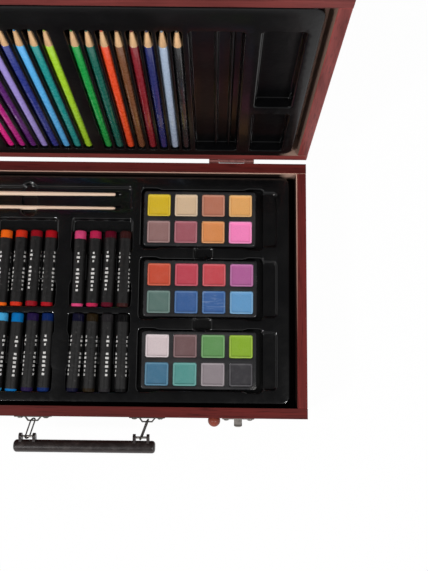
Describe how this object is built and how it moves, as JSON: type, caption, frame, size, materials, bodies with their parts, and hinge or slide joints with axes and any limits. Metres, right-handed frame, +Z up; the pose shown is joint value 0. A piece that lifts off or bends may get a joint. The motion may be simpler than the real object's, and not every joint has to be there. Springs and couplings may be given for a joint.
{
  "type": "gouache paint set box",
  "caption": "Flat wooden art case with a stop-hinged lid, a slide-out drawer, lift-out paint palettes, oil pastels, brushes, colour pencils, a swinging handle and hasp latches.",
  "frame": {"origin": "centre of the base's underside", "axes": "+X to the right along the long side, +Y to the back where the hinges are, +Z up"},
  "size_m": [0.382, 0.3176, 0.3022],
  "materials": {
    "stained_wood": "satin mahogany stain, open grain",
    "stained_ply": "satin mahogany stain",
    "raw_wood": "bare wood",
    "tray_plastic": "satin vacuum-formed sheet",
    "palette_plastic": "satin moulded",
    "paint_warm": "matt pressed paint, eight colours",
    "paint_mixed": "matt pressed paint, eight colours",
    "paint_cool": "matt pressed paint, eight colours",
    "wrapper_paper": "satin black paper",
    "pastel_yellow": "waxy",
    "pastel_red": "waxy",
    "pastel_pink": "waxy",
    "pastel_green": "waxy",
    "pastel_blue": "waxy",
    "pastel_dark": "waxy",
    "brush_wood": "bare, smooth",
    "ferrule_metal": "polished",
    "bristle": "fine hair",
    "pencil_lacquer_warm": "gloss lacquer, eight colours",
    "pencil_lacquer_cool": "gloss lacquer, eight colours",
    "pencil_lacquer_dark": "gloss lacquer, eight colours",
    "pencil_wood": "sharpened cedar",
    "pencil_lead": "waxy core, each in its own colour",
    "bronze": "dark antique bronze plating",
    "nickel": "nickel plating",
    "grip_plastic": "satin moulded",
    "knob_wood": "satin stain",
    "steel": "zinc plated"
  },
  "bodies": {
    "case": {"base_back": "stained_wood", "base_bottom": "stained_ply", "base_front_rail": "stained_wood", "base_shelf": "raw_wood", "base_side_left": "stained_wood", "base_side_right": "stained_wood", "base_tray": "tray_plastic", "brush_bristles": "bristle", "brush_ferrules": "ferrule_metal", "brush_handles": "brush_wood", "catch_plates": "nickel", "front_screws": "nickel", "handle_brackets": "nickel", "hinge_leaves_base": "bronze", "hinge_pins": "bronze", "hinge_screws_base": "bronze", "pastel_sticks_back_left": "pastel_yellow", "pastel_sticks_back_middle": "pastel_red", "pastel_sticks_back_right": "pastel_pink", "pastel_sticks_front_left": "pastel_green", "pastel_sticks_front_middle": "pastel_blue", "pastel_sticks_front_right": "pastel_dark", "pastel_wrappers_back": "wrapper_paper", "pastel_wrappers_front": "wrapper_paper"},
    "lid": {"hasp_pins": "nickel", "hasp_plates": "nickel", "hasp_screws": "nickel", "hinge_leaves_lid": "bronze", "hinge_screws_lid": "bronze", "lid_front_rail": "stained_wood", "lid_hinge_rail": "stained_wood", "lid_panel": "stained_ply", "lid_side_left": "stained_wood", "lid_side_right": "stained_wood", "lid_tray": "tray_plastic", "pencil_barrels_left": "pencil_lacquer_warm", "pencil_barrels_middle": "pencil_lacquer_cool", "pencil_barrels_right": "pencil_lacquer_dark", "pencil_cones": "pencil_wood", "pencil_leads": "pencil_lead"},
    "drawer": {"drawer_back": "raw_wood", "drawer_bottom": "raw_wood", "drawer_front": "stained_wood", "drawer_knobs": "knob_wood", "drawer_side_left": "raw_wood", "drawer_side_right": "raw_wood", "knob_screws": "steel"},
    "handle_links": {"handle_links": "nickel"},
    "handle_grip": {"handle_grip": "grip_plastic", "grip_pins": "nickel"},
    "hasp_left": {"hasp_left": "nickel"},
    "hasp_right": {"hasp_right": "nickel"},
    "palette_back": {"palette_back": "palette_plastic", "paint_cakes_back": "paint_warm"},
    "palette_middle": {"palette_middle": "palette_plastic", "paint_cakes_middle": "paint_mixed"},
    "palette_front": {"palette_front": "palette_plastic", "paint_cakes_front": "paint_cool"}
  },
  "joints": [
    {"name": "lid_hinge", "type": "hinge", "parent": "case", "child": "lid", "pos_m": [0, 0.1175, 0.0642], "axis": [-1, 0, 0], "range_deg": [-95.5, 0]},
    {"name": "drawer_slide", "type": "slide", "parent": "case", "child": "drawer", "axis": [0, -1, 0], "range_m": [0, 0.16]},
    {"name": "handle_swing", "type": "hinge", "parent": "case", "child": "handle_links", "pos_m": [0, -0.1191, 0.054], "axis": [-1, 0, 0], "range_deg": [-40, 80]},
    {"name": "grip_swing", "type": "hinge", "parent": "handle_links", "child": "handle_grip", "pos_m": [0, -0.13323, 0.04886], "axis": [-1, 0, 0], "range_deg": [-30, 30]},
    {"name": "hasp_left_hinge", "type": "hinge", "parent": "lid", "child": "hasp_left", "pos_m": [-0.1306, 0.14622, 0.29772], "axis": [-1, 0, 0], "range_deg": [-165, 0]},
    {"name": "hasp_right_hinge", "type": "hinge", "parent": "lid", "child": "hasp_right", "pos_m": [0.1306, 0.14622, 0.29772], "axis": [-1, 0, 0], "range_deg": [-165, 0]},
    {"name": "palette_back_lift", "type": "slide", "parent": "case", "child": "palette_back", "axis": [0, 0, 1], "range_m": [0, 0.05]},
    {"name": "palette_middle_lift", "type": "slide", "parent": "case", "child": "palette_middle", "axis": [0, 0, 1], "range_m": [0, 0.05]},
    {"name": "palette_front_lift", "type": "slide", "parent": "case", "child": "palette_front", "axis": [0, 0, 1], "range_m": [0, 0.05]}
  ]
}
